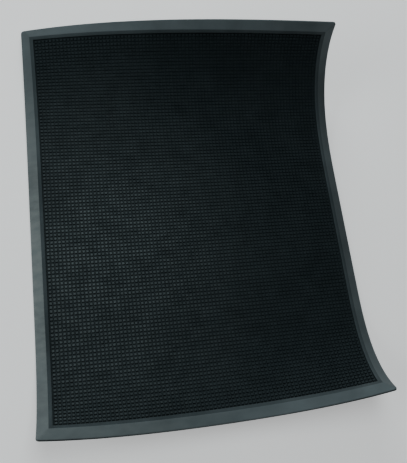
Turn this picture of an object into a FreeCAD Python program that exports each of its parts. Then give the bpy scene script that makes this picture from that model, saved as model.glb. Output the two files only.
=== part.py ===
import FreeCAD, Part
import Sketcher
import math
import os
from functools import lru_cache

# Heavy-duty seedling heat mat: a moulded rubber mat with a raised border and a field of small
# nubs, lying flat in the middle, with its front edge lifted and its far end curled up, most at
# the right. The origin is the middle of the flat underside. X is across the mat, Y along it
# from the lifted front edge to the curled far end, Z up.
#
# Places on the mat are given as (across, along, height): the distance from the middle line,
# the distance from the front edge measured along the sheet, and the height above the underside
# measured square to the sheet. mat_point() turns them into a point of the bent mat. Pieces in
# the junction capsule use the capsule's own frame, with its origin in the middle of its floor.

Vector = FreeCAD.Vector

DIMENSIONS = {
    # outline: the nub field and the border set the mat's width and length
    "nub_pitch": 6.3, "nub_columns": 81, "nub_rows": 107, "border_width": 24,
    # heights in the sheet, and the border's section: a wide bevel, then a flat inner band
    "base_thickness": 2.2, "floor_underside": 5.4, "floor_top": 6.9, "nub_top": 9.1,
    "border_top": 9.4, "edge_thickness": 3.2, "bevel_width": 16.5, "field_wall": 0.8,
    "nub_margin": 0.9,
    # bend of the sheet: flat between these two lines, slopes in degrees at the two ends
    "flat_from": 215, "flat_to": 402,
    "lip_middle": 32, "lip_twist": 1, "lip_corner": 27.5,
    "curl_middle": 48, "curl_twist": 34.5, "curl_corner": -6.5,
    # heater layers inside the rubber, and how far they stay from the mat's far edge
    "cold_end": 70, "film_end": 86, "layer_margin": 1.5, "layer_gap": 0.05,
    "scrim_thickness": 0.2, "film_thickness": 0.15, "screen_thickness": 0.3,
    # heating wire and leads
    "wire_radius": 0.95, "wire_height": 3.45, "wire_passes": 16, "wire_spacing": 32.4,
    "wire_front": 29, "wire_far": 90, "lead_radius": 0.85, "lead_turn": 10, "lead_run": 80,
    "cold_joint_radius": 0.95, "cold_joint_length": 16, "cold_joint_place": 116,
    "joint_gap": 0.3, "tab_length": 10, "tab_width": 8, "tab_thickness": 0.4, "earth_reach": 1,
    # cord inlet: a boss under the far end, with a flanged bushing in it
    "inlet_across": -173.5, "inlet_inset": 9, "boss_height": 14.6, "boss_width": 28,
    "boss_foot_width": 22, "boss_length": 36, "boss_foot_length": 30, "inlet_height": -9.6,
    "inlet_radius": 3.0, "bushing_radius": 3.9, "bushing_length": 16, "flange_radius": 4.8,
    "flange_thickness": 1.5, "boss_room_width": 14, "boss_room_length": 10,
    "boss_room_floor": -13, "core_hole_width": 16, "core_hole_length": 4,
    "core_hole_across": 16.5, "core_hole_along": 9,
    # junction capsule, near the far edge
    "junction_across": -190, "junction_inset": 41, "junction_height": 1.25,
    "junction_width": 69, "junction_depth": 26, "junction_base_height": 3.8,
    "junction_floor": 0.8, "cavity_width": 58, "cavity_depth": 23, "lid_thickness": 0.75,
    "rivet_across": 31.9, "rivet_along": 10, "rivet_radius": 1.0, "rivet_clearance": 0.05,
    "rivet_head_radius": 1.6, "rivet_head": 0.4, "notch_width": 2.0, "notch_depth": 2.6,
    "capsule_clearance": 0.15, "slot_side": 2.2, "slot_floor": 1.7,
    "slot_top": 4.9, "cut_overlap": 1,
    # leads in the capsule: places across it, and their height above its underside
    "live_lead_across": -24, "live_core_across": 6, "earth_across": 18, "neutral_across": 27,
    "crimp_radius": 1.0, "crimp_bore": 0.55, "splice_length": 10, "short_crimp_length": 5,
    "live_lead_crimp_place": -6, "live_core_crimp_place": 4, "wall_margin": 1,
    # thermal cut-out in the capsule
    "strip_thickness": 0.4, "strip_width": 9, "contact_strip_length": 13,
    "contact_strip_across": 3.5, "contact_strip_along": 4,
    "bracket_strip_across": -2, "bracket_strip_along": -1.5,
    "bracket_length": 10, "bracket_block": 6, "bracket_block_width": 5, "bracket_top": 2.15,
    "arm_length": 24.5, "arm_width": 4, "arm_thickness": 0.3, "arm_lift": 2.25,
    "arm_overhang": 2, "arm_hole_radius": 1.0, "pivot_across": -19,
    "contact_across": 2, "contact_radius": 1.2, "contact_height": 0.5,
    "moving_contact_height": 0.45, "arm_rivet_radius": 0.7, "arm_rivet_head": 1.3,
    "arm_rivet_head_height": 0.3, "arm_rivet_gap": 0.1,
}

doc = FreeCAD.newDocument("seedling_heat_mat")
sheet = doc.addObject("Spreadsheet::Sheet", "dims")
for row, (alias, value) in enumerate(DIMENSIONS.items(), start=1):
    sheet.set(f"A{row}", alias)
    sheet.set(f"B{row}", str(value))
    sheet.setAlias(f"B{row}", alias)
doc.recompute()
SIZE = {alias: float(sheet.get(alias)) for alias in DIMENSIONS}

WIDTH = SIZE["nub_columns"] * SIZE["nub_pitch"] + 2 * SIZE["border_width"]
LENGTH = SIZE["nub_rows"] * SIZE["nub_pitch"] + 2 * SIZE["border_width"]
FLAT_MIDDLE = (SIZE["flat_from"] + SIZE["flat_to"]) / 2
# half the distance across over which the sheet's tilt is taken
TILT_STEP = 0.5
# how finely the bend is followed: steps of its slope, points of a face, points of a lead
BEND_STEPS = 64
GRID = 13
BENT_RUN_POINTS = 9
SHORT_RUN_POINTS = 5
TURN_POINTS = 9
CROSSING_POINTS = 15
SUB_PARTS = []


# ---- the bend of the sheet ----

def slope(across, along):
    """Slope of the sheet along its length, in radians: down the lip, flat, up the curl."""
    side = 2 * across / WIDTH
    lip = SIZE["lip_middle"] + SIZE["lip_twist"] * side + SIZE["lip_corner"] * side ** 2
    curl = SIZE["curl_middle"] + SIZE["curl_twist"] * side + SIZE["curl_corner"] * side ** 2
    up_lip = max(0.0, 1 - along / SIZE["flat_from"])
    up_curl = max(0.0, (along - SIZE["flat_to"]) / (LENGTH - SIZE["flat_to"]))
    return math.radians(curl * up_curl ** 2 - lip * up_lip ** 2)


@lru_cache(maxsize=None)
def underside(across, along):
    """Point of the underside, found by following the slope out from the flat middle."""
    if SIZE["flat_from"] <= along <= SIZE["flat_to"]:
        return Vector(across, along - FLAT_MIDDLE, 0)
    start = SIZE["flat_from"] if along < SIZE["flat_from"] else SIZE["flat_to"]
    step = (along - start) / BEND_STEPS
    y, z = start - FLAT_MIDDLE, 0.0
    for i in range(BEND_STEPS):
        angle = slope(across, start + (i + 0.5) * step)
        y += step * math.cos(angle)
        z += step * math.sin(angle)
    return Vector(across, y, z)


def sheet_axes(across, along):
    """Directions across the sheet, along it, and out of its top."""
    angle = slope(across, along)
    ahead = Vector(0, math.cos(angle), math.sin(angle))
    across_edge = underside(across + TILT_STEP, along) - underside(across - TILT_STEP, along)
    out = across_edge.cross(ahead)
    out.normalize()
    return ahead.cross(out), ahead, out


def mat_point(across, along, height):
    return underside(across, along) + sheet_axes(across, along)[2] * height


def placed(p, x, y, z):
    """Placement at a point, with the directions of its own X, Y and Z."""
    return FreeCAD.Placement(FreeCAD.Matrix(
        x.x, y.x, z.x, p.x, x.y, y.y, z.y, p.y, x.z, y.z, z.z, p.z, 0, 0, 0, 1))


def mat_placement(across, along, height):
    """Placement of a small stiff piece that lies along the sheet at one place."""
    return placed(mat_point(across, along, height), *sheet_axes(across, along))


def spread(first, last, count):
    return [first + (last - first) * i / (count - 1) for i in range(count)]


# ---- solids that follow the bend ----

def bent_patch(left, right, start, end, height):
    """One face of the sheet at one height, with its left, right, front and back edges."""
    if SIZE["flat_from"] <= start and end <= SIZE["flat_to"]:
        spots = ((left, start), (right, start), (right, end), (left, end))
        ring = [mat_point(across, along, height) for across, along in spots]
        front, right_side, back, left_side = [
            Part.LineSegment(p, q).toShape() for p, q in zip(ring, ring[1:] + ring[:1])]
        face = Part.Face(Part.Wire([front, right_side, back, left_side]))
        return [face, left_side, right_side, front, back]
    surface = Part.BSplineSurface()
    surface.interpolate([[mat_point(across, along, height) for along in spread(start, end, GRID)]
                         for across in spread(left, right, GRID)])
    u0, u1, v0, v1 = surface.bounds()
    edges = (surface.uIso(u0), surface.uIso(u1), surface.vIso(v0), surface.vIso(v1))
    return [surface.toShape()] + [edge.toShape() for edge in edges]


def closed_solid(faces):
    skin = Part.makeCompound(faces)
    skin.sewShape()
    solid = Part.makeSolid(Part.makeShell(skin.Faces))
    if solid.Volume < 0:
        solid.reverse()
    return solid


def bent_block(*levels):
    """Solid between levels, from the bottom up, each (left, right, front, back, height)."""
    faces, below = [], None
    for number, (left, right, front, back, height) in enumerate(levels):
        bends = [mark for mark in (SIZE["flat_from"], SIZE["flat_to"]) if front < mark < back]
        marks = [front] + bends + [back]
        patches = [bent_patch(left, right, start, end, height)
                   for start, end in zip(marks, marks[1:])]
        if number in (0, len(levels) - 1):
            faces += [patch[0] for patch in patches]
        if below:
            for low, high in zip(below, patches):
                faces.append(Part.makeRuledSurface(low[1], high[1]))
                faces.append(Part.makeRuledSurface(low[2], high[2]))
            faces.append(Part.makeRuledSurface(below[0][3], patches[0][3]))
            faces.append(Part.makeRuledSurface(below[-1][4], patches[-1][4]))
        below = patches
    return closed_solid(faces)


def level(inset, height, far_inset=None):
    """Level whose outline stays this far inside the mat's own outline."""
    half = WIDTH / 2 - inset
    return -half, half, inset, LENGTH - (inset if far_inset is None else far_inset), height


def tube(stretches, radius):
    """Round lead through points. Each stretch starts at the last point of the one before."""
    points, breaks = list(stretches[0][:1]), [0]
    for stretch in stretches:
        points += stretch[1:]
        breaks.append(len(points) - 1)
    rings = []
    for i, point in enumerate(points):
        ahead = points[min(i + 1, len(points) - 1)] - points[max(i - 1, 0)]
        ahead.normalize()
        side = Vector(0, 0, 1).cross(ahead)
        side.normalize()
        ring = Part.Circle(Vector(), Vector(0, 0, 1), radius).toShape()
        ring.Placement = placed(point, side, ahead.cross(side), ahead)
        rings.append(Part.Wire([ring]))
    faces = [Part.Face(rings[0]), Part.Face(rings[-1])]
    for start, end in zip(breaks, breaks[1:]):
        faces += Part.makeLoft(rings[start:end + 1], False, True).Faces
    return closed_solid(faces)


# ---- document objects ----

def feature(name, shape):
    made = doc.addObject("Part::Feature", name)
    made.Shape = shape
    return made


def sub_part(made, name):
    made.Label = name
    SUB_PARTS.append(made)
    return made


def cut(name, base, tool):
    made = doc.addObject("Part::Cut", name)
    made.Base = base
    made.Tool = tool
    return made


def bind(made, **expressions):
    for name, expression in expressions.items():
        made.setExpression(name, expression)
    return made


def box(name, width, depth, height, placement):
    """Box with its sizes bound to the sheet."""
    made = doc.addObject("Part::Box", name)
    bind(made, Length=width, Width=depth, Height=height)
    made.Placement = placement
    return made


def body(name, placement):
    made = doc.addObject("PartDesign::Body", name)
    made.Placement = placement
    return sub_part(made, name)


def sketch(owner, height=None):
    """Sketch on the body's base plane, or a stated height above it."""
    made = owner.newObject("Sketcher::SketchObject", owner.Name + "_sketch")
    plane = next(f for f in owner.Origin.OriginFeatures if f.Role == "XY_Plane")
    made.AttachmentSupport = (plane, [""])
    made.MapMode = "FlatFace"
    if height:
        made.setExpression("AttachmentOffset.Base.z", height)
    return made


def constrain(made, kind, *spots, to):
    number = made.addConstraint(Sketcher.Constraint(kind, *spots, 1.0))
    made.setExpression(f"Constraints[{number}]", to)


def rectangle(made, width, depth, across="0", along="0"):
    """Rectangle with its middle at (across, along), all four bound to the sheet."""
    first = made.GeometryCount
    corners = [Vector(x, y, 0) for x, y in ((-1, -1), (1, -1), (1, 1), (-1, 1))]
    made.addGeometry([Part.LineSegment(p, q) for p, q in zip(corners, corners[1:] + corners[:1])])
    for side in range(4):
        made.addConstraint(Sketcher.Constraint(
            "Coincident", first + side, 2, first + (side + 1) % 4, 1))
        made.addConstraint(Sketcher.Constraint("Vertical" if side % 2 else "Horizontal", first + side))
    constrain(made, "DistanceX", first, 1, first, 2, to=width)
    constrain(made, "DistanceY", first + 1, 1, first + 1, 2, to=depth)
    constrain(made, "DistanceX", -1, 1, first, 2, to=f"{across} + ({width}) / 2")
    constrain(made, "DistanceY", -1, 1, first + 1, 2, to=f"{along} + ({depth}) / 2")


def circle(made, radius, across="0", along="0"):
    number = made.addGeometry(Part.Circle(Vector(1, 1, 0), Vector(0, 0, 1), 1))
    constrain(made, "Radius", number, to=radius)
    if across == along == "0":
        made.addConstraint(Sketcher.Constraint("Coincident", number, 3, -1, 1))
    else:
        constrain(made, "DistanceX", -1, 1, number, 3, to=across)
        constrain(made, "DistanceY", -1, 1, number, 3, to=along)


def pad(owner, profile, length):
    made = owner.newObject("PartDesign::Pad", owner.Name + "_pad")
    made.Profile = profile
    made.setExpression("Length", length)
    profile.Visibility = False
    doc.recompute()
    return made


def pocket(owner, profile, length):
    """Pocket down from its sketch, which must take material away."""
    before = owner.Shape.Volume
    made = owner.newObject("PartDesign::Pocket", owner.Name + "_pocket")
    made.Profile = profile
    made.setExpression("Length", length)
    profile.Visibility = False
    doc.recompute()
    if owner.Shape.Volume >= before:
        raise RuntimeError(f"{made.Name} takes nothing away")
    return made


# ---- outer rubber ----

def inlet_placement():
    """Frame of the cord inlet: its origin is the bushing's inner end and its Z runs outwards."""
    half = SIZE["bushing_length"] / 2
    middle = mat_placement(SIZE["inlet_across"], LENGTH - SIZE["inlet_inset"] - half,
                           SIZE["inlet_height"])
    return middle.multiply(FreeCAD.Placement(Vector(0, -half, 0), ALONG_TURN))


def in_junction(across, along, height, turn=FreeCAD.Rotation()):
    """Placement given in the capsule's own frame."""
    return JUNCTION.multiply(FreeCAD.Placement(Vector(across, along, height), turn))


ALONG_TURN = FreeCAD.Rotation(Vector(1, 0, 0), -90)
JUNCTION = mat_placement(SIZE["junction_across"], LENGTH - SIZE["junction_inset"],
                         SIZE["junction_height"])


def make_capsule_room():
    """Room in the rubber for the capsule."""
    gap = SIZE["capsule_clearance"]
    return box("capsule_room", "dims.junction_width + 2 * dims.capsule_clearance",
               "dims.junction_depth + 2 * dims.capsule_clearance",
               "dims.junction_base_height + dims.lid_thickness + dims.capsule_clearance",
               in_junction(-SIZE["junction_width"] / 2 - gap, -SIZE["junction_depth"] / 2 - gap, 0))


def make_heater_slot():
    """Slot for the leads from the heater's room to the capsule, a little way into the base."""
    middle, side = SIZE["junction_across"], SIZE["slot_side"]
    left = middle + SIZE["live_lead_across"] - side
    right = middle + SIZE["neutral_across"] + side
    start = LENGTH - SIZE["cold_end"] - SIZE["cut_overlap"]
    end = LENGTH - SIZE["junction_inset"]
    return feature("heater_slot", bent_block(
        (left, right, start, end, SIZE["slot_floor"]),
        (left, right, start, end, SIZE["slot_top"])))


def make_core_hole():
    """Hole through the base sheet for the cord's cores, from the boss up into the capsule."""
    return box("core_hole", "dims.core_hole_width", "dims.core_hole_length",
               "dims.junction_height + 2 * dims.cut_overlap",
               in_junction(SIZE["core_hole_across"] - SIZE["core_hole_width"] / 2,
                           SIZE["core_hole_along"] - SIZE["core_hole_length"] / 2,
                           -SIZE["junction_height"] - SIZE["cut_overlap"]))


def make_base_sheet(rooms):
    """Bottom rubber sheet, flat underneath in the middle of the mat."""
    made = feature("base_blank", bent_block(level(0, 0), level(0, SIZE["base_thickness"])))
    for number, room in enumerate(rooms):
        made = cut(f"base_cut_{number + 1}", made, room)
    sub_part(made, "base_sheet")


def make_top_cover(rooms):
    """Top rubber sheet: bevelled border with a flat inner band, heater room below, nubs above.

    The nubs are moulded on the cover; this solid carries the block that they fill."""
    border, top, floor_top = SIZE["border_width"], SIZE["border_top"], SIZE["floor_top"]
    blank = bent_block(level(0, SIZE["base_thickness"]), level(0, SIZE["edge_thickness"]),
                       level(SIZE["bevel_width"], top))
    heater_room = bent_block(
        level(border, SIZE["base_thickness"] - SIZE["cut_overlap"], SIZE["cold_end"]),
        level(border, SIZE["floor_underside"], SIZE["cold_end"]))
    lean = SIZE["field_wall"] / (top - floor_top)
    above = top + SIZE["cut_overlap"]
    recess = bent_block(level(border, floor_top),
                        level(border - lean * (above - floor_top), above))
    inset = border + SIZE["nub_margin"]
    nubs = bent_block(level(inset, (floor_top + SIZE["floor_underside"]) / 2),
                      level(inset, SIZE["nub_top"]))
    made = cut("cover_with_room", feature("cover_blank", blank),
               feature("heater_room", heater_room))
    recessed = cut("cover_recessed", made, feature("field_recess", recess))
    made = doc.addObject("Part::Fuse", "cover_with_nubs")
    made.Base = recessed
    made.Tool = feature("nub_block", nubs)
    for number, room in enumerate(rooms):
        made = cut(f"cover_cut_{number + 1}", made, room)
    sub_part(made, "top_cover")


def make_inlet_boss():
    """Rubber boss bonded under the far end, bored for the bushing, hollow behind it."""
    glue = SIZE["layer_gap"]
    middle, outer = SIZE["inlet_across"], LENGTH - SIZE["inlet_inset"]
    half_foot, half_top = SIZE["boss_foot_width"] / 2, SIZE["boss_width"] / 2
    blank = bent_block(
        (middle - half_foot, middle + half_foot, outer - SIZE["boss_foot_length"], outer,
         -SIZE["boss_height"]),
        (middle - half_top, middle + half_top, outer - SIZE["boss_length"], outer, -glue))
    bore = doc.addObject("Part::Cylinder", "bushing_room")
    bind(bore, Radius="dims.bushing_radius", Height="dims.bushing_length + dims.cut_overlap")
    bore.Placement = inlet_placement()
    seat = doc.addObject("Part::Cylinder", "flange_seat")
    bind(seat, Radius="dims.flange_radius + dims.layer_gap", Height="2 * dims.flange_thickness")
    seat.Placement = inlet_placement().multiply(FreeCAD.Placement(
        Vector(0, 0, SIZE["bushing_length"]), FreeCAD.Rotation()))
    # the room behind the bushing reaches up through the boss's top face
    room = box("boss_room", "dims.boss_room_width", "dims.boss_room_length",
               "dims.cut_overlap - dims.boss_room_floor",
               mat_placement(middle, outer - SIZE["bushing_length"], SIZE["boss_room_floor"])
               .multiply(FreeCAD.Placement(Vector(-SIZE["boss_room_width"] / 2,
                                                  -SIZE["boss_room_length"], 0),
                                           FreeCAD.Rotation())))
    made = feature("boss_blank", blank)
    for number, tool in enumerate((bore, seat, room), start=1):
        made = cut(f"boss_cut_{number}", made, tool)
    sub_part(made, "inlet_boss")


def make_cord_bushing():
    """Stiff flanged bushing that lines the cord's way in."""
    made = body("cord_bushing", inlet_placement())
    ring = sketch(made)
    circle(ring, "dims.bushing_radius")
    circle(ring, "dims.inlet_radius")
    pad(made, ring, "dims.bushing_length")
    flange = sketch(made, "dims.bushing_length")
    circle(flange, "dims.flange_radius")
    circle(flange, "dims.inlet_radius")
    pad(made, flange, "dims.flange_thickness")


# ---- heater layers ----

def make_layer(name, low, thickness, far_inset):
    inset = SIZE["border_width"] + SIZE["layer_margin"]
    block = bent_block(level(inset, low, far_inset), level(inset, low + thickness, far_inset))
    sub_part(feature(name, block), name)


def make_layers():
    """Glass scrims, insulating film and earthed screen, stacked from both sides of the wire."""
    gap = SIZE["layer_gap"]
    far = SIZE["cold_end"] + SIZE["layer_margin"]
    make_layer("lower_scrim", SIZE["base_thickness"] + gap, SIZE["scrim_thickness"], far)
    upper = SIZE["floor_underside"] - gap - SIZE["scrim_thickness"]
    make_layer("upper_scrim", upper, SIZE["scrim_thickness"], far)
    screen = upper - gap - SIZE["screen_thickness"]
    make_layer("earth_screen", screen, SIZE["screen_thickness"], far)
    film = screen - gap - SIZE["film_thickness"]
    make_layer("insulating_film", film, SIZE["film_thickness"], SIZE["film_end"])
    tab_placement = mat_placement(
        SIZE["junction_across"] + SIZE["earth_across"], LENGTH - SIZE["lead_run"],
        screen - SIZE["tab_thickness"] - gap)
    tab = body("earth_tab", tab_placement)
    plate = sketch(tab)
    rectangle(plate, "dims.tab_width", "dims.tab_length")
    pad(tab, plate, "dims.tab_thickness")


def arc_points(across, along, radius, start, end, count):
    """Points round an arc in the sheet, with its angles in degrees from the across direction."""
    angles = [math.radians(angle) for angle in spread(start, end, count)]
    return [mat_point(across + radius * math.cos(a), along + radius * math.sin(a),
                      SIZE["wire_height"]) for a in angles]


def run_points(across, start, end, count):
    return [mat_point(across, along, SIZE["wire_height"]) for along in spread(start, end, count)]


def pass_stretches(across, start, end):
    """One pass of the wire along the mat, with its straight stretch on the flat middle."""
    low, high = min(start, end), max(start, end)
    flat_from, flat_to = SIZE["flat_from"], SIZE["flat_to"]
    stretches = [run_points(across, low, flat_from, BENT_RUN_POINTS),
                 run_points(across, flat_from, flat_to, 2),
                 run_points(across, flat_to, high, BENT_RUN_POINTS)]
    if start > end:
        stretches = [stretch[::-1] for stretch in stretches[::-1]]
    return stretches


def make_heating_wire():
    """One wire in long passes, joined by half-circle turns at both ends."""
    passes, spacing = int(SIZE["wire_passes"]), SIZE["wire_spacing"]
    turn = spacing / 2
    first = -spacing * (passes - 1) / 2
    joint_end = (LENGTH - SIZE["cold_joint_place"] - SIZE["cold_joint_length"] / 2
                 - SIZE["joint_gap"])
    front, far = SIZE["wire_front"] + turn, LENGTH - SIZE["wire_far"] - turn
    stretches = []
    for number in range(passes):
        across = first + number * spacing
        down = number % 2 == 0
        top = joint_end if number in (0, passes - 1) else far
        start, end = (top, front) if down else (front, top)
        stretches += pass_stretches(across, start, end)
        if number < passes - 1:
            angles = (180, 360) if down else (180, 0)
            stretches.append(arc_points(across + turn, end, turn, *angles, TURN_POINTS))
    sub_part(feature("heating_wire", tube(stretches, SIZE["wire_radius"])), "heating_wire")


def make_cold_joints():
    """Sleeved joints between the ends of the heating wire and their leads."""
    edge = SIZE["wire_spacing"] * (SIZE["wire_passes"] - 1) / 2
    middle, half = LENGTH - SIZE["cold_joint_place"], SIZE["cold_joint_length"] / 2
    for name, across in (("live_cold_joint", -edge), ("neutral_cold_joint", edge)):
        run = run_points(across, middle - half, middle + half, SHORT_RUN_POINTS)
        sub_part(feature(name, tube([run], SIZE["cold_joint_radius"])), name)


def capsule_run(across, start):
    """Straight start of a lead: in the capsule, and out through its wall."""
    height = SIZE["wire_height"] - SIZE["junction_height"]
    end = -SIZE["junction_depth"] / 2 - SIZE["wall_margin"]
    return [in_junction(across, along, height).Base for along in spread(start, end, 2)]


def make_leads():
    """Cold leads and earth lead, from the capsule into the heater's room."""
    edge = SIZE["wire_spacing"] * (SIZE["wire_passes"] - 1) / 2
    gap = SIZE["joint_gap"]
    joint = LENGTH - SIZE["cold_joint_place"] + SIZE["cold_joint_length"] / 2 + gap
    middle, wall = SIZE["junction_across"], LENGTH - SIZE["cold_end"]
    run, turn = LENGTH - SIZE["lead_run"], SIZE["lead_turn"]
    splice_end = -SIZE["splice_length"] / 2 - gap

    live = SIZE["live_lead_across"]
    swerve = []
    for along in spread(wall, joint, TURN_POINTS):
        share = (wall - along) / (wall - joint)
        eased = share * share * (3 - 2 * share)
        across = middle + live - eased * (middle + live + edge)
        swerve.append(mat_point(across, along, SIZE["wire_height"]))
    start = capsule_run(live, SIZE["live_lead_crimp_place"] - gap)
    live_lead = tube([start, [start[-1], swerve[0]], swerve], SIZE["lead_radius"])
    sub_part(feature("live_lead", live_lead), "live_lead")

    earth = SIZE["earth_across"]
    start = capsule_run(earth, splice_end)
    ending = run_points(middle + earth, wall, run - SIZE["earth_reach"], SHORT_RUN_POINTS)
    earth_lead = tube([start, [start[-1], ending[0]], ending], SIZE["lead_radius"])
    sub_part(feature("earth_lead", earth_lead), "earth_lead")

    neutral = SIZE["neutral_across"]
    start = capsule_run(neutral, splice_end)
    corner = arc_points(middle + neutral + turn, run + turn, turn, 180, 270, TURN_POINTS)
    crossing = [mat_point(across, run, SIZE["wire_height"])
                for across in spread(middle + neutral + turn, edge - turn, CROSSING_POINTS)]
    last_corner = arc_points(edge - turn, run - turn, turn, 90, 0, TURN_POINTS)
    ending = run_points(edge, run - turn, joint, SHORT_RUN_POINTS)
    neutral_lead = tube([start, [start[-1], corner[0]], corner, crossing, last_corner, ending],
                        SIZE["lead_radius"])
    sub_part(feature("neutral_lead", neutral_lead), "neutral_lead")


# ---- junction capsule ----

def rivet_spots():
    return [(across, along) for across in ("dims.rivet_across", "-dims.rivet_across")
            for along in ("dims.rivet_along", "-dims.rivet_along")]


def make_junction_base():
    """Tray with solid ends for the rivets, notches for the leads, and a hole for the cord."""
    made = body("junction_base", in_junction(0, 0, 0))
    outline = sketch(made)
    rectangle(outline, "dims.junction_width", "dims.junction_depth")
    pad(made, outline, "dims.junction_base_height")
    cavity = sketch(made, "dims.junction_base_height")
    rectangle(cavity, "dims.cavity_width", "dims.cavity_depth")
    pocket(made, cavity, "dims.junction_base_height - dims.junction_floor")
    notches = sketch(made, "dims.junction_base_height")
    wall = "(dims.junction_depth + dims.cavity_depth) / 4"
    through = "(dims.junction_depth - dims.cavity_depth) / 2 + dims.cut_overlap"
    for lead in ("live_lead", "earth", "neutral"):
        rectangle(notches, "dims.notch_width", through, f"dims.{lead}_across", f"-{wall}")
    pocket(made, notches, "dims.notch_depth")
    core_hole = sketch(made, "dims.junction_floor")
    rectangle(core_hole, "dims.core_hole_width", "dims.core_hole_length",
              "dims.core_hole_across", "dims.core_hole_along")
    pocket(made, core_hole, "dims.junction_floor")
    holes = sketch(made, "dims.junction_base_height")
    for across, along in rivet_spots():
        circle(holes, "dims.rivet_radius + dims.rivet_clearance", across, along)
    pocket(made, holes, "dims.junction_base_height")


def make_junction_lid():
    made = body("junction_lid", in_junction(0, 0, SIZE["junction_base_height"]))
    outline = sketch(made)
    rectangle(outline, "dims.junction_width", "dims.junction_depth")
    pad(made, outline, "dims.lid_thickness")
    holes = sketch(made, "dims.lid_thickness")
    for across, along in rivet_spots():
        circle(holes, "dims.rivet_radius + dims.rivet_clearance", across, along)
    pocket(made, holes, "dims.lid_thickness")
    counterbores = sketch(made, "dims.lid_thickness")
    for across, along in rivet_spots():
        circle(counterbores, "dims.rivet_head_radius + dims.rivet_clearance", across, along)
    pocket(made, counterbores, "dims.rivet_head")


def make_lid_rivets():
    """Rivets through the lid and the tray, with their heads sunk in the lid."""
    spots = [(across, along) for across in (-1, 1) for along in (-1, 1)]
    for number, (across, along) in enumerate(spots, start=1):
        made = body(f"lid_rivet_{number}", in_junction(
            across * SIZE["rivet_across"], along * SIZE["rivet_along"], 0))
        shank = sketch(made)
        circle(shank, "dims.rivet_radius")
        pad(made, shank, "dims.junction_base_height + dims.lid_thickness")
        head = sketch(made, "dims.junction_base_height + dims.lid_thickness - dims.rivet_head")
        circle(head, "dims.rivet_head_radius")
        pad(made, head, "dims.rivet_head")


def make_crimp(name, across, start, length):
    """Crimp barrel that lies along the mat in the capsule, open at both ends."""
    height = SIZE["wire_height"] - SIZE["junction_height"]
    made = body(name, in_junction(across, start, height, ALONG_TURN))
    ring = sketch(made)
    circle(ring, "dims.crimp_radius")
    circle(ring, "dims.crimp_bore")
    pad(made, ring, length)


def make_crimps():
    half = SIZE["splice_length"] / 2
    make_crimp("earth_splice", SIZE["earth_across"], -half, "dims.splice_length")
    make_crimp("neutral_splice", SIZE["neutral_across"], -half, "dims.splice_length")
    make_crimp("live_lead_crimp", SIZE["live_lead_across"],
               SIZE["live_lead_crimp_place"], "dims.short_crimp_length")
    make_crimp("live_core_crimp", SIZE["live_core_across"],
               SIZE["live_core_crimp_place"], "dims.short_crimp_length")


# ---- thermal cut-out, in the capsule ----

def make_contact_strip():
    """Brass strip that carries the fixed contact and the cord's live crimp."""
    made = body("contact_strip", in_junction(
        SIZE["contact_strip_across"], SIZE["contact_strip_along"], SIZE["junction_floor"]))
    outline = sketch(made)
    rectangle(outline, "dims.strip_width", "dims.contact_strip_length")
    pad(made, outline, "dims.strip_thickness")


def make_contacts():
    """Silver contacts: one on the strip, one under the bimetal arm's free end."""
    strip_top = SIZE["junction_floor"] + SIZE["strip_thickness"]
    fixed = body("fixed_contact", in_junction(SIZE["contact_across"], 0, strip_top))
    button = sketch(fixed)
    circle(button, "dims.contact_radius")
    pad(fixed, button, "dims.contact_height")
    moving = body("moving_contact", in_junction(
        SIZE["contact_across"], 0, SIZE["arm_lift"] - SIZE["moving_contact_height"]))
    button = sketch(moving)
    circle(button, "dims.contact_radius")
    pad(moving, button, "dims.moving_contact_height")


def make_arm_bracket():
    """Brass strip with a block that the bimetal arm pivots on."""
    made = body("arm_bracket", in_junction(
        SIZE["pivot_across"], 0, SIZE["junction_floor"]))
    strip = sketch(made)
    rectangle(strip, "dims.bracket_length", "dims.strip_width",
              "dims.bracket_strip_across", "dims.bracket_strip_along")
    pad(made, strip, "dims.strip_thickness")
    block = sketch(made)
    rectangle(block, "dims.bracket_block", "dims.bracket_block_width")
    pad(made, block, "dims.bracket_top - dims.junction_floor")


def make_bimetal_arm():
    """Arm that lifts its contact when the mat overheats."""
    made = body("bimetal_arm", in_junction(SIZE["pivot_across"], 0, SIZE["arm_lift"]))
    outline = sketch(made)
    rectangle(outline, "dims.arm_length", "dims.arm_width",
              "dims.arm_length / 2 - dims.arm_overhang")
    circle(outline, "dims.arm_hole_radius")
    pad(made, outline, "dims.arm_thickness")


def make_arm_rivet():
    """Rivet that stands in the bracket and keeps the arm on its pivot."""
    made = body("arm_rivet", in_junction(SIZE["pivot_across"], 0, SIZE["bracket_top"]))
    shank = sketch(made)
    circle(shank, "dims.arm_rivet_radius")
    reach = "dims.arm_lift + dims.arm_thickness + dims.arm_rivet_gap - dims.bracket_top"
    pad(made, shank, reach)
    head = sketch(made, reach)
    circle(head, "dims.arm_rivet_head")
    pad(made, head, "dims.arm_rivet_head_height")


# ---- build, check and export ----

capsule_room = make_capsule_room()
heater_slot = make_heater_slot()
make_base_sheet([capsule_room, heater_slot, make_core_hole()])
make_top_cover([capsule_room, heater_slot])
make_inlet_boss()
make_cord_bushing()
make_layers()
make_heating_wire()
make_cold_joints()
make_leads()
make_junction_base()
make_junction_lid()
make_lid_rivets()
make_crimps()
make_contact_strip()
make_contacts()
make_arm_bracket()
make_bimetal_arm()
make_arm_rivet()
doc.recompute()

for item in doc.Objects:
    if "Invalid" in item.State or "Error" in item.State:
        raise RuntimeError(f"{item.Name} is {item.State}")
for item in SUB_PARTS:
    if item.Shape.isNull() or not item.Shape.isValid() or len(item.Shape.Solids) != 1:
        raise RuntimeError(f"{item.Label} has no sound single solid")

os.makedirs("parts", exist_ok=True)
for item in SUB_PARTS:
    item.Shape.exportStep(f"parts/{item.Label}.step")
    print(item.Label, round(item.Shape.Volume, 1))
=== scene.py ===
import math

import bpy
import numpy as np
from mathutils import Matrix, Vector


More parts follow.
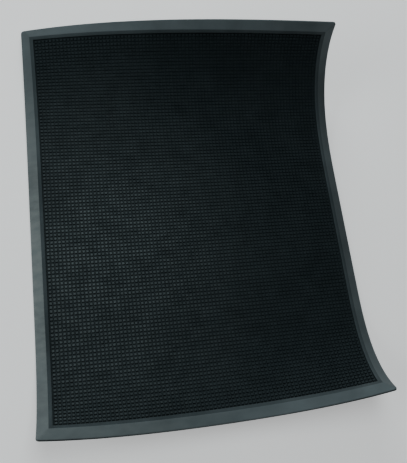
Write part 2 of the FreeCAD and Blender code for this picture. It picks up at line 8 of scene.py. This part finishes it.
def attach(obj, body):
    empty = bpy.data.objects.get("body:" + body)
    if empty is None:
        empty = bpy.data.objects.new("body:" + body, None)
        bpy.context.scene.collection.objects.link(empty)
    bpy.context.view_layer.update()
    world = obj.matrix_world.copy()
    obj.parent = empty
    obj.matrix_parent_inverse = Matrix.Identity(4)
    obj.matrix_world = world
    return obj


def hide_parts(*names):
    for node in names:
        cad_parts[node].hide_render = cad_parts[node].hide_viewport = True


# Heavy-duty seedling heat mat: moulded rubber with a bevelled border and a field of small nubs,
# its front edge lifted and its far end curled up.
#
# Places on the mat are (across, along, height) in metres: from the middle line, from the front
# edge along the sheet, and up from the underside, square to the sheet. bend() turns them into
# points of the frame, with the same formula as the CAD model.

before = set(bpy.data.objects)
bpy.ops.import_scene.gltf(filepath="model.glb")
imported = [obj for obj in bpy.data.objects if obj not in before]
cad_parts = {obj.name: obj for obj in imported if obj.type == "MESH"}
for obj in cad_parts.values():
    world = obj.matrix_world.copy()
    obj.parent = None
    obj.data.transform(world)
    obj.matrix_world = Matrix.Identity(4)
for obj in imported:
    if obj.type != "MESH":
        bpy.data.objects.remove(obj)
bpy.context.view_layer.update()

# ---- sizes of the sheet, in metres and degrees ----

NUB_PITCH, NUB_COLUMNS, NUB_ROWS = 0.0063, 81, 107
BORDER_WIDTH = 0.024
WIDTH = NUB_COLUMNS * NUB_PITCH + 2 * BORDER_WIDTH
LENGTH = NUB_ROWS * NUB_PITCH + 2 * BORDER_WIDTH
FLAT_FROM, FLAT_TO = 0.215, 0.402
FLAT_MIDDLE = (FLAT_FROM + FLAT_TO) / 2
LIP_MIDDLE, LIP_TWIST, LIP_CORNER = 32, 1, 27.5
CURL_MIDDLE, CURL_TWIST, CURL_CORNER = 48, 34.5, -6.5
BEND_STEPS = 64

BASE_TOP = 0.0022
FLOOR_TOP = 0.0069
# the border's section as (inset, height): rounded edge, bevel, flat inner band, wall, floor
BORDER_SECTION = (
    (0.0, 0.0022), (0.0, 0.0026), (0.0002, 0.0031), (0.0008, 0.0035), (0.0020, 0.0040),
    (0.0040, 0.0048), (0.0080, 0.0063), (0.0130, 0.0082), (0.0156, 0.0091), (0.0165, 0.00935),
    (0.0175, 0.0094), (0.0200, 0.0094), (0.0220, 0.0094), (0.0225, 0.0092), (0.0228, 0.0086),
    (0.0231, 0.0072), (0.0235, 0.0069))
# the section's points where the flat band and the floor begin
BAND_FROM, FLOOR_FROM = 9, 13
CORNER_ROUND = 0.0055
# a nub's section as (half width, height above the floor)
NUB_SECTION = ((0.00240, 0.0), (0.00200, 0.0017), (0.00150, 0.0022))


# ---- the bend ----

def slope(across, along):
    """Slope of the sheet along its length, in radians: down the lip, flat, up the curl."""
    side = 2 * across / WIDTH
    lip = LIP_MIDDLE + LIP_TWIST * side + LIP_CORNER * side ** 2
    curl = CURL_MIDDLE + CURL_TWIST * side + CURL_CORNER * side ** 2
    up_lip = np.maximum(0, 1 - along / FLAT_FROM)
    up_curl = np.maximum(0, (along - FLAT_TO) / (LENGTH - FLAT_TO))
    return np.radians(curl * up_curl ** 2 - lip * up_lip ** 2)


def underside(across, along):
    """Points of the underside, found by following the slope out from the flat middle."""
    start = np.clip(along, FLAT_FROM, FLAT_TO)
    step = (along - start) / BEND_STEPS
    y, z = start - FLAT_MIDDLE, np.zeros_like(start)
    for i in range(BEND_STEPS):
        angle = slope(across, start + (i + 0.5) * step)
        y = y + step * np.cos(angle)
        z = z + step * np.sin(angle)
    return np.stack([across, y, z], -1)


def bend(across, along, height):
    """Points of the bent mat for arrays of places on it."""
    across, along, height = np.broadcast_arrays(
        np.asarray(across, float), np.asarray(along, float), np.asarray(height, float))
    half_step = 0.0005
    angle = slope(across, along)
    ahead = np.stack([np.zeros_like(angle), np.cos(angle), np.sin(angle)], -1)
    side = underside(across + half_step, along) - underside(across - half_step, along)
    out = np.cross(side, ahead)
    out /= np.linalg.norm(out, axis=-1, keepdims=True)
    return underside(across, along) + out * height[..., None]


# ---- materials ----

RUBBER_DARK = (0.0034, 0.0056, 0.0066)
RUBBER_PALE = (0.0065, 0.0101, 0.0116)
# pale colour of dust, also the colour of painted sheen on the bevel
RUBBER_DUST_AND_PAINTED_SHEEN = (0.120, 0.141, 0.147)
# colour of the painted highlight on the left side
RUBBER_PAINTED_HIGHLIGHT = (0.175, 0.190, 0.184)
RUBBER_SHEEN = (0.72, 0.94, 1.0, 1.0)
RUBBER_SPECULAR = 0.33
# oval of painted highlight (paler colour and lower roughness), by the middle of the left side
HIGHLIGHT_PATCH_CENTRE = (-0.23, -0.03, 0.0)
HIGHLIGHT_PATCH_REACH = (0.38, 0.38, 0.4)
# bands of a wave texture in each metre at a scale of 1
BANDS_PER_SCALE = 3.18


def make_material(name, roughness, **inputs):
    """Material with its constant values on the shader, and the shader's own links still to come."""
    material = bpy.data.materials.new(name)
    material.use_nodes = True
    shader = material.node_tree.nodes["Principled BSDF"]
    shader.inputs["Roughness"].default_value = roughness
    for socket, value in inputs.items():
        shader.inputs[socket.replace("_", " ")].default_value = value
    return material, shader


def add_node(material, kind, **settings):
    node = material.node_tree.nodes.new(kind)
    for name, value in settings.items():
        setattr(node, name, value)
    return node


def link(material, source, target):
    material.node_tree.links.new(source, target)


def noise(material, scale, detail=4, roughness=0.55, stretch=None):
    """Noise at a scale per metre, in the object's own coordinates."""
    place = add_node(material, "ShaderNodeTexCoord")
    texture = add_node(material, "ShaderNodeTexNoise")
    texture.inputs["Scale"].default_value = scale
    texture.inputs["Detail"].default_value = detail
    texture.inputs["Roughness"].default_value = roughness
    source = place.outputs["Object"]
    if stretch:
        mapping = add_node(material, "ShaderNodeMapping")
        mapping.inputs["Scale"].default_value = stretch
        link(material, source, mapping.inputs["Vector"])
        source = mapping.outputs["Vector"]
    link(material, source, texture.inputs["Vector"])
    return texture.outputs["Fac"]


def ramp(material, source, *stops):
    """Colour ramp through (place, colour) stops, each colour a grey or (r, g, b)."""
    node = add_node(material, "ShaderNodeValToRGB")
    elements = node.color_ramp.elements
    while len(elements) < len(stops):
        elements.new(0.5)
    for element, (place, colour) in zip(elements, stops):
        element.position = place
        rgb = colour if isinstance(colour, tuple) else (colour,) * 3
        element.color = (*rgb, 1)
    link(material, source, node.inputs["Fac"])
    return node.outputs["Color"]


def mix(material, share, first, second, blend="MIX"):
    """Mixed colour: each input a socket, a number or (r, g, b)."""
    node = add_node(material, "ShaderNodeMix", data_type="RGBA", blend_type=blend)
    for socket, value in ((node.inputs["Factor"], share), (node.inputs["A"], first),
                          (node.inputs["B"], second)):
        if isinstance(value, bpy.types.NodeSocket):
            link(material, value, socket)
        elif isinstance(value, tuple):
            socket.default_value = (*value, 1)
        else:
            socket.default_value = value
    return node.outputs["Result"]


def bump(material, shader, height, depth, under=None):
    """Bump of a depth in metres, on top of another bump if one is given."""
    node = add_node(material, "ShaderNodeBump")
    node.inputs["Strength"].default_value = 1
    node.inputs["Distance"].default_value = depth
    link(material, height, node.inputs["Height"])
    if under:
        link(material, under, node.inputs["Normal"])
    link(material, node.outputs["Normal"], shader.inputs["Normal"])
    return node.outputs["Normal"]


def patch(material, centre, reach):
    """Share from 1 at a place on the mat down to 0 at an oval's edge, in the object's coordinates."""
    place = add_node(material, "ShaderNodeTexCoord")
    mapping = add_node(material, "ShaderNodeMapping", vector_type="TEXTURE")
    mapping.inputs["Location"].default_value = centre
    mapping.inputs["Scale"].default_value = reach
    oval = add_node(material, "ShaderNodeTexGradient", gradient_type="SPHERICAL")
    link(material, place.outputs["Object"], mapping.inputs["Vector"])
    link(material, mapping.outputs["Vector"], oval.inputs["Vector"])
    return oval.outputs["Fac"]


def rubber_material(name, dust_and_sheen_share, roughness, highlight_and_gloss=None):
    """Matt moulded rubber: mottled, with a pale bloom and specks, fine grain and low waves. The bloom is
    partly dust and partly painted sheen and painted shade.

    The last argument gives the share of painted highlight colour and the roughness in the middle of the
    painted highlight's oval."""
    material, shader = make_material(name, roughness[0], Specular_IOR_Level=RUBBER_SPECULAR,
                                     Specular_Tint=RUBBER_SHEEN)
    mottle = ramp(material, noise(material, 28), (0.35, RUBBER_DARK), (0.7, RUBBER_PALE))
    # the bloom's share is set per zone: dust, and also painted sheen where large (bevel), painted shade
    # where small (band, field, nubs)
    dust_and_sheen_bloom = ramp(material, noise(material, 9, detail=6), (0.3, dust_and_sheen_share[0]), (0.75, dust_and_sheen_share[1]))
    colour = mix(material, dust_and_sheen_bloom, mottle, RUBBER_DUST_AND_PAINTED_SHEEN)
    gloss = ramp(material, noise(material, 40), (0.3, roughness[0]), (0.75, roughness[1]))
    # painted highlight: a paler oval broken up by streaks, with lower roughness in it
    if highlight_and_gloss:
        streaks = ramp(material, noise(material, 45, detail=5, stretch=(1, 2, 1)), (0.35, 0.5), (0.65, 1.0))
        place = mix(material, 1.0, patch(material, HIGHLIGHT_PATCH_CENTRE, HIGHLIGHT_PATCH_REACH), streaks, "MULTIPLY")
        colour = mix(material, ramp(material, place, (0.0, 0.0), (0.8, highlight_and_gloss[0])), colour, RUBBER_PAINTED_HIGHLIGHT)
        gloss = mix(material, ramp(material, place, (0.1, 0.0), (0.7, 1.0)), gloss, (highlight_and_gloss[1],) * 3)
    specks = ramp(material, noise(material, 900, detail=2), (0.66, 0.0), (0.78, dust_and_sheen_share[2]))
    colour = mix(material, specks, colour, RUBBER_DUST_AND_PAINTED_SHEEN)
    link(material, colour, shader.inputs["Base Color"])
    link(material, gloss, shader.inputs["Roughness"])
    grain = bump(material, shader, noise(material, 1800, detail=3), 0.00005)
    bump(material, shader, noise(material, 120, detail=3), 0.0002, grain)
    return material


def underside_material():
    """Rubber with the fine grain that a cloth leaves in it, and scuffs from the bench."""
    material, shader = make_material("underside_rubber", 0.6, Specular_IOR_Level=RUBBER_SPECULAR,
                                     Specular_Tint=RUBBER_SHEEN)
    mottle = ramp(material, noise(material, 20), (0.35, RUBBER_DARK), (0.7, RUBBER_PALE))
    scuffs = ramp(material, noise(material, 22, detail=8, roughness=0.65), (0.5, 0.03), (0.75, 0.16))
    colour = mix(material, scuffs, mottle, RUBBER_DUST_AND_PAINTED_SHEEN)
    link(material, colour, shader.inputs["Base Color"])
    bump(material, shader, weave(material, 700), 0.00012)
    return material


def weave(material, scale):
    """Height of crossed threads, so many to the metre."""
    heights = []
    for direction in ("X", "Y"):
        place = add_node(material, "ShaderNodeTexCoord")
        threads = add_node(material, "ShaderNodeTexWave", wave_type="BANDS", bands_direction=direction)
        threads.inputs["Scale"].default_value = scale / BANDS_PER_SCALE
        threads.inputs["Distortion"].default_value = 0.3
        threads.inputs["Detail"].default_value = 1
        link(material, place.outputs["Object"], threads.inputs["Vector"])
        heights.append(threads.outputs["Color"])
    return mix(material, 1.0, heights[0], heights[1], "MULTIPLY")


def plastic_material(name, colour, roughness=0.4):
    """Moulded plastic with a faint mottle and a fine grain."""
    material, shader = make_material(name, roughness, Specular_IOR_Level=0.5)
    darker = tuple(0.85 * part for part in colour)
    link(material, ramp(material, noise(material, 300), (0.35, darker), (0.65, colour)),
         shader.inputs["Base Color"])
    bump(material, shader, noise(material, 2500, detail=2), 0.00003)
    return material


def metal_material(name, colour, roughness, stretch=None):
    """Metal with streaked or mottled gloss, and a little tarnish."""
    material, shader = make_material(name, roughness, Metallic=1.0)
    tarnished = tuple(0.6 * part for part in colour)
    link(material, ramp(material, noise(material, 250, detail=6), (0.35, colour), (0.8, tarnished)),
         shader.inputs["Base Color"])
    streaks = noise(material, 1500, detail=3, stretch=stretch)
    link(material, ramp(material, streaks, (0.3, 0.7 * roughness), (0.7, 1.3 * roughness)),
         shader.inputs["Roughness"])
    bump(material, shader, streaks, 0.00002)
    return material


def cloth_material(name, colour, roughness, metallic, threads):
    """Woven cloth or mesh, with its threads in colour and in height."""
    material, shader = make_material(name, roughness, Metallic=metallic)
    pattern = weave(material, threads)
    gaps = tuple(0.45 * part for part in colour)
    link(material, ramp(material, pattern, (0.1, gaps), (0.6, colour)), shader.inputs["Base Color"])
    bump(material, shader, pattern, 0.0001)
    return material


def film_material():
    """Clear amber film with slow ripples."""
    material, shader = make_material("amber_film", 0.12, Alpha=0.75, IOR=1.6)
    colour = ramp(material, noise(material, 15), (0.3, (0.55, 0.26, 0.05)), (0.7, (0.68, 0.36, 0.08)))
    link(material, colour, shader.inputs["Base Color"])
    bump(material, shader, noise(material, 60, detail=2), 0.0002)
    return material


def dress(material, *names):
    """Gives CAD nodes that stay in sight of a section their finish."""
    for name in names:
        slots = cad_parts[name].data.materials
        slots.clear()
        slots.append(material)


def dress_inner_pieces():
    glass = cloth_material("glass_cloth", (0.62, 0.60, 0.52), 0.7, 0.0, 900)
    dress(glass, "lower_scrim", "upper_scrim")
    dress(cloth_material("aluminium_mesh", (0.75, 0.76, 0.77), 0.35, 1.0, 1400), "earth_screen")
    dress(film_material(), "insulating_film")
    dress(plastic_material("red_silicone", (0.42, 0.035, 0.02), 0.45), "heating_wire")
    dress(plastic_material("brown_sleeve", (0.13, 0.045, 0.02)), "live_lead")
    dress(plastic_material("blue_sleeve", (0.015, 0.06, 0.32)), "neutral_lead")
    dress(plastic_material("green_sleeve", (0.06, 0.26, 0.03)), "earth_lead")
    dress(plastic_material("shrunk_sleeve", (0.66, 0.62, 0.52), 0.5),
          "live_cold_joint", "neutral_cold_joint")
    dress(plastic_material("capsule_plastic", (0.016, 0.016, 0.018), 0.5), "junction_base")
    dress(plastic_material("lid_plastic", (0.022, 0.022, 0.024), 0.45), "junction_lid")
    dress(metal_material("tinned_brass", (0.74, 0.70, 0.58), 0.3), "earth_tab", "earth_splice",
          "neutral_splice", "live_lead_crimp", "live_core_crimp")
    dress(metal_material("rolled_brass", (0.82, 0.60, 0.24), 0.28, (1, 12, 1)), "contact_strip",
          "arm_bracket", "arm_rivet")
    dress(metal_material("silver", (0.93, 0.92, 0.88), 0.18), "fixed_contact", "moving_contact")
    dress(metal_material("bimetal", (0.56, 0.54, 0.50), 0.35, (12, 1, 1)), "bimetal_arm")
    dress(metal_material("aluminium", (0.80, 0.80, 0.81), 0.35),
          *(f"lid_rivet_{number}" for number in range(1, 5)))


# ---- meshes ----

def mesh_piece(name, points, faces, smooth=False):
    mesh = bpy.data.meshes.new(name)
    mesh.from_pydata(np.asarray(points).reshape(-1, 3).tolist(), [], faces)
    mesh.polygons.foreach_set("use_smooth", [smooth] * len(mesh.polygons))
    mesh.update()
    piece = bpy.data.objects.new(name, mesh)
    bpy.context.scene.collection.objects.link(piece)
    return piece


def add_to_mat(piece, slot, *materials):
    for material in materials:
        piece.data.materials.append(material)
    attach(piece, "mat")


def sheet_lines(section, span, pitches, each):
    """Lines over the sheet: the section's insets from both sides, and one for each so many nubs."""
    insets = [inset for inset, height in section]
    count = math.ceil(pitches / each)
    between = [BORDER_WIDTH + pitches * NUB_PITCH * i / count for i in range(1, count)]
    return np.array(insets + between + [span - inset for inset in reversed(insets)])


def ring_order(rows, columns, most):
    """For each grid point, how many lines it is in from the nearest side, up to a section's points."""
    by_row = np.minimum(np.arange(rows), rows - 1 - np.arange(rows))
    by_column = np.minimum(np.arange(columns), columns - 1 - np.arange(columns))
    return np.minimum(np.minimum.outer(by_row, by_column), most - 1)


def rounded_corners(across, along):
    """Grid of places with the outline's four corners rounded."""
    across, along = np.meshgrid(across, along)
    right, far = across > WIDTH / 2, along > LENGTH / 2
    u = np.where(right, WIDTH - across, across)
    v = np.where(far, LENGTH - along, along)
    inset, apart = np.minimum(u, v), np.abs(u - v)
    radius = np.maximum(CORNER_ROUND - inset, 1e-9)
    angle = np.radians(45) * np.maximum(0, 1 - apart / radius)
    lower = inset + radius * (1 - np.cos(angle))
    upper = inset + radius * (1 - np.sin(angle))
    turned = (inset < CORNER_ROUND) & (apart < radius)
    new_u = np.where(turned, np.where(u < v, lower, upper), u)
    new_v = np.where(turned, np.where(u < v, upper, lower), v)
    return np.where(right, WIDTH - new_u, new_u), np.where(far, LENGTH - new_v, new_v)


def make_cover(bevel, band, floor):
    """Top cover: bevelled border, mitred at the corners, and the floor between the nubs."""
    across = sheet_lines(BORDER_SECTION, WIDTH, NUB_COLUMNS, 2)
    along = sheet_lines(BORDER_SECTION, LENGTH, NUB_ROWS, 1)
    columns, rows = len(across), len(along)
    order = ring_order(rows, columns, len(BORDER_SECTION))
    heights = np.array([height for inset, height in BORDER_SECTION])[order]
    across, along = rounded_corners(across, along)
    points = bend(across - WIDTH / 2, along, heights)
    faces, slots = [], []
    for i in range(rows - 1):
        for j in range(columns - 1):
            a, b = i * columns + j, i * columns + j + 1
            c, d = b + columns, a + columns
            near_left, near_right = order[i, j], order[i, j + 1]
            far_left, far_right = order[i + 1, j], order[i + 1, j + 1]
            # a face that a mitre crosses is split along the mitre
            if near_left != far_right and near_right == far_left:
                made = [(a, b, c), (a, c, d)]
            elif near_left == far_right and near_right != far_left:
                made = [(a, b, d), (b, c, d)]
            else:
                made = [(a, b, c, d)]
            faces += made
            ring = min(near_left, near_right, far_left, far_right)
            slots += [int(ring >= BAND_FROM) + int(ring >= FLOOR_FROM)] * len(made)
    piece = mesh_piece("top_cover_moulding", points, faces, smooth=True)
    add_to_mat(piece, "top_cover", bevel, band, floor)
    piece.data.polygons.foreach_set("material_index", slots)
    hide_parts("top_cover")


def make_nubs(material):
    """One frustum with chamfered top edges for each nub, its foot a little in the floor."""
    places_across = (np.arange(NUB_COLUMNS) + 0.5) * NUB_PITCH - NUB_COLUMNS * NUB_PITCH / 2
    places_along = (np.arange(NUB_ROWS) + 0.5) * NUB_PITCH + BORDER_WIDTH
    across, along = np.meshgrid(places_across, places_along)
    across, along = across.ravel(), along.ravel()
    corners = np.array([(-1, -1), (1, -1), (1, 1), (-1, 1)])
    sunk = 0.0002
    rings = []
    for half, height in NUB_SECTION:
        rings.append(bend(across[:, None] + half * corners[:, 0], along[:, None] + half * corners[:, 1],
                          FLOOR_TOP + (height or -sunk)))
    points = np.stack(rings, 1)
    levels = len(NUB_SECTION)
    faces = []
    for first in range(0, len(across) * levels * 4, levels * 4):
        for level in range(levels - 1):
            low = first + level * 4
            for side in range(4):
                turn = (side + 1) % 4
                faces.append((low + side, low + turn, low + 4 + turn, low + 4 + side))
        faces.append(tuple(first + (levels - 1) * 4 + side for side in range(4)))
    add_to_mat(mesh_piece("nub_field", points, faces), "top_cover", material)


def make_base_sheet(material):
    """Base sheet: flat-bottomed slab with a small round on its lower edge."""
    edge = ((0.0, BASE_TOP), (0.0, 0.0005), (0.00015, 0.00015), (0.0005, 0.0), (0.0012, 0.0),
            (0.0025, 0.0), (0.0060, 0.0), (0.0110, 0.0), (0.0175, 0.0))
    heights = np.array([height for inset, height in edge])
    across = sheet_lines(edge, WIDTH, NUB_COLUMNS, 2)
    along = sheet_lines(edge, LENGTH, NUB_ROWS, 1)
    columns, rows = len(across), len(along)
    order = ring_order(rows, columns, len(edge))
    across, along = rounded_corners(across, along)
    points = bend(across - WIDTH / 2, along, heights[order])
    faces = []
    for i in range(rows - 1):
        for j in range(columns - 1):
            a, b = i * columns + j, i * columns + j + 1
            faces.append((a, a + columns, b + columns, b))
    piece = mesh_piece("base_sheet_moulding", points, faces, smooth=True)
    add_to_mat(piece, "base_sheet", material)
    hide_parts("base_sheet")


def make_boss(material):
    """Boss for the cord, in the CAD solid's own shape."""
    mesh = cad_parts["inlet_boss"].data.copy()
    mesh.materials.clear()
    piece = bpy.data.objects.new("inlet_boss_moulding", mesh)
    bpy.context.scene.collection.objects.link(piece)
    add_to_mat(piece, "inlet_boss", material)
    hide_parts("inlet_boss")


# ---- camera, stage and lights ----

CAMERA_PLACE = Vector((-0.2006, -0.2485, 0.9290))
CAMERA_TARGET = Vector((0.0123, 0.0189, 0.0))
CAMERA_ROLL = 32.92
CAMERA_LENS = 43.81


def make_camera():
    camera = bpy.data.objects.new("camera", bpy.data.cameras.new("camera"))
    bpy.context.scene.collection.objects.link(camera)
    camera.data.lens = CAMERA_LENS
    look = (CAMERA_TARGET - CAMERA_PLACE).to_track_quat("-Z", "Y").to_matrix()
    turned = look @ Matrix.Rotation(math.radians(CAMERA_ROLL), 3, "Z")
    camera.matrix_world = Matrix.Translation(CAMERA_PLACE) @ turned.to_4x4()
    bpy.context.scene.camera = camera


def make_stage():
    """Pale floor, lit a little from within like a light table."""
    mesh = bpy.data.meshes.new("floor")
    reach = 4
    mesh.from_pydata([(-reach, -reach, 0), (reach, -reach, 0), (reach, reach, 0),
                      (-reach, reach, 0)], [], [(0, 1, 2, 3)])
    floor = bpy.data.objects.new("floor", mesh)
    bpy.context.scene.collection.objects.link(floor)
    material, shader = make_material("floor_paint", 0.9, Emission_Strength=0.45,
                                     Emission_Color=(1.0, 1.0, 1.0, 1.0))
    colour = ramp(material, noise(material, 3), (0.3, (0.83, 0.83, 0.82)), (0.7, (0.87, 0.87, 0.86)))
    link(material, colour, shader.inputs["Base Color"])
    mesh.materials.append(material)


def add_light(name, place, target, size, power):
    light = bpy.data.lights.new(name, "AREA")
    light.shape = "RECTANGLE"
    light.size, light.size_y = size
    light.energy = power
    light.color = (0.90, 0.98, 1.0)
    lamp = bpy.data.objects.new(name, light)
    bpy.context.scene.collection.objects.link(lamp)
    place, target = Vector(place), Vector(target)
    lamp.matrix_world = (Matrix.Translation(place)
                         @ (target - place).to_track_quat("-Z", "Y").to_matrix().to_4x4())


def make_lights():
    """Large soft lights: low beyond the far end, low at the left, and high beyond the mat."""
    middle = (0, 0, 0.03)
    add_light("far_light", (0, 2.44, 0.89), middle, (1.4, 1.3), 28)
    add_light("left_light", (-2.44, 0, 0.89), middle, (1.4, 1.3), 28)
    add_light("high_light", (0.22, 0.84, 2.45), middle, (1.6, 1.6), 23)


def make_world():
    """Room that gives little light, and shows beyond the floor as pale as the floor."""
    world = bpy.data.worlds.new("studio")
    world.use_nodes = True
    nodes, links = world.node_tree.nodes, world.node_tree.links
    background = nodes["Background"]
    background.inputs["Color"].default_value = (0.92, 0.97, 1.0, 1)
    path = nodes.new("ShaderNodeLightPath")
    strength = nodes.new("ShaderNodeMapRange")
    strength.inputs["To Min"].default_value = 0.06
    strength.inputs["To Max"].default_value = 0.9
    links.new(path.outputs["Is Camera Ray"], strength.inputs["Value"])
    links.new(strength.outputs["Result"], background.inputs["Strength"])
    bpy.context.scene.world = world


# ---- the scene ----

# lit and shaded copies of one rubber: the bevel's large bloom share is painted sheen, and the smaller
# shares of the band, field and nubs are painted shade; the specks are dust
# the bevel, the field and the nubs carry the painted highlight on the left side, strongest on the bevel
bevel_rubber = rubber_material("bevel_rubber", (0.4, 0.88, 0.4), (0.48, 0.66), highlight_and_gloss=(0.95, 0.5))
band_rubber = rubber_material("band_rubber", (0.12, 0.4, 0.3), (0.55, 0.7))
field_rubber = rubber_material("field_rubber", (0.0, 0.05, 0.12), (0.64, 0.78), highlight_and_gloss=(0.07, 0.62))
nub_rubber = rubber_material("nub_rubber", (0.0, 0.06, 0.25), (0.6, 0.76), highlight_and_gloss=(0.25, 0.37))
make_cover(bevel_rubber, band_rubber, field_rubber)
make_nubs(nub_rubber)
make_base_sheet(underside_material())
make_boss(band_rubber)
dress(plastic_material("bushing_plastic", (0.022, 0.022, 0.024), 0.35), "cord_bushing")
dress_inner_pieces()
make_stage()
make_lights()
make_world()
make_camera()
